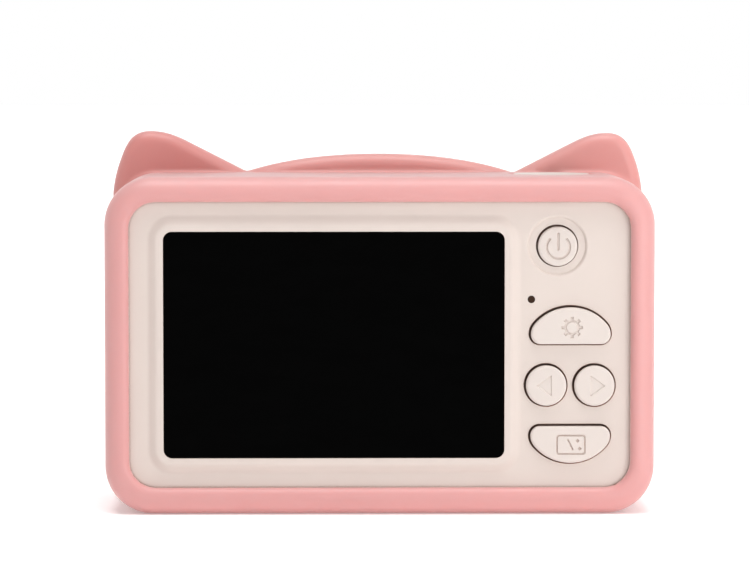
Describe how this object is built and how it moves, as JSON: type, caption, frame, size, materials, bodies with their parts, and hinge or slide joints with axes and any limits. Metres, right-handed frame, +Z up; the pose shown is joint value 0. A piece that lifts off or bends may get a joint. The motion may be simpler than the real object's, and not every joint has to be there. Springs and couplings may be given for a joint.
{
  "type": "kids digital camera",
  "caption": "Child's compact digital camera with a rear screen and keys, in a soft silicone jacket with cat ears.",
  "frame": {"origin": "on the resting surface, under the middle of the camera's width and depth", "axes": "+X to the right as the person behind the camera sees it, +Y the way the lens looks, +Z up"},
  "size_m": [0.1, 0.04, 0.0692],
  "materials": {
    "silicone": "soft matt silicone",
    "housing_plastic": "fine matt ABS",
    "key_plastic": "satin moulded ABS",
    "screen_black": "polished acrylic",
    "panel_glass": "display glass",
    "black_plastic": "matt black moulding",
    "grey_plastic": "moulded carrier",
    "foam": "closed cell foam",
    "circuit_board": "solder masked fibreglass",
    "chip_resin": "moulded epoxy",
    "connector_plastic": "natural nylon",
    "ferrite": "sintered ferrite",
    "flex_film": "polyimide film",
    "steel": "drawn steel",
    "bright_steel": "nickel plated",
    "foil": "pouch foil",
    "lead_insulation": "soft insulation",
    "light_pipe": "smoked acrylic",
    "led_package": "encapsulated",
    "lens_glass": "coated",
    "filter_glass": "coated",
    "flash_lens": "frosted acrylic",
    "ring_plastic": "satin moulded ring",
    "card_plastic": "moulded card"
  },
  "bodies": {
    "root": {"silicone_jacket": "silicone", "rear_cover": "housing_plastic", "front_shell": "housing_plastic", "screen_window": "screen_black", "display_gasket": "foam", "display_panel": "panel_glass", "display_carrier": "grey_plastic", "display_flex": "flex_film", "main_board": "circuit_board", "processor": "chip_resin", "memory_chip": "chip_resin", "power_chip": "chip_resin", "board_connectors": "connector_plastic", "board_coils": "ferrite", "tact_switches": "bright_steel", "shutter_switch": "black_plastic", "shutter_board": "circuit_board", "status_light_pipe": "light_pipe", "status_led": "led_package", "usb_socket": "steel", "card_socket": "steel", "port_door_pin": "steel", "battery": "foil", "battery_foam": "foam", "battery_leads": "lead_insulation", "speaker": "black_plastic", "speaker_gasket": "foam", "speaker_leads": "lead_insulation", "microphone": "bright_steel", "sensor_board": "circuit_board", "image_sensor": "chip_resin", "sensor_flex": "flex_film", "lens_holder": "black_plastic", "lens_barrel": "black_plastic", "lens_rear_element": "lens_glass", "lens_front_element": "lens_glass", "ir_filter": "filter_glass", "lens_baffle": "black_plastic", "lens_cover": "lens_glass", "lens_ring": "ring_plastic", "flash_board": "circuit_board", "flash_led": "led_package", "flash_window": "flash_lens", "housing_screws": "steel", "small_screws": "steel", "strap_bar": "bright_steel"},
    "power_key": {"power_button": "key_plastic", "power_plunger": "black_plastic"},
    "settings_key": {"settings_button": "key_plastic", "settings_plunger": "black_plastic"},
    "previous_key": {"previous_button": "key_plastic", "previous_plunger": "black_plastic"},
    "next_key": {"next_button": "key_plastic", "next_plunger": "black_plastic"},
    "effects_key": {"effects_button": "key_plastic", "effects_plunger": "black_plastic"},
    "shutter_release": {"shutter_button": "key_plastic", "shutter_plunger": "black_plastic"},
    "door": {"port_door": "key_plastic"},
    "card": {"memory_card": "card_plastic"}
  },
  "joints": [
    {"name": "power_press", "type": "slide", "parent": "root", "child": "power_key", "axis": [0, 1, 0], "range_m": [0, 0.0003], "stiffness_N_per_m": 1500, "springref_m": -0.0006},
    {"name": "settings_press", "type": "slide", "parent": "root", "child": "settings_key", "axis": [0, 1, 0], "range_m": [0, 0.0003], "stiffness_N_per_m": 1500, "springref_m": -0.0006},
    {"name": "previous_press", "type": "slide", "parent": "root", "child": "previous_key", "axis": [0, 1, 0], "range_m": [0, 0.0003], "stiffness_N_per_m": 1500, "springref_m": -0.0006},
    {"name": "next_press", "type": "slide", "parent": "root", "child": "next_key", "axis": [0, 1, 0], "range_m": [0, 0.0003], "stiffness_N_per_m": 1500, "springref_m": -0.0006},
    {"name": "effects_press", "type": "slide", "parent": "root", "child": "effects_key", "axis": [0, 1, 0], "range_m": [0, 0.0003], "stiffness_N_per_m": 1500, "springref_m": -0.0006},
    {"name": "shutter_press", "type": "slide", "parent": "root", "child": "shutter_release", "axis": [0, 0, -1], "range_m": [0, 0.0006], "stiffness_N_per_m": 1200, "springref_m": -0.0008},
    {"name": "port_door_swing", "type": "hinge", "parent": "root", "child": "door", "pos_m": [-0.0467, -0.0084, 0.0138], "axis": [0, -1, 0], "range_deg": [0, 88]},
    {"name": "card_push", "type": "slide", "parent": "root", "child": "card", "axis": [1, 0, 0], "range_m": [0, 0.0008], "stiffness_N_per_m": 600, "springref_m": -0.0005}
  ]
}
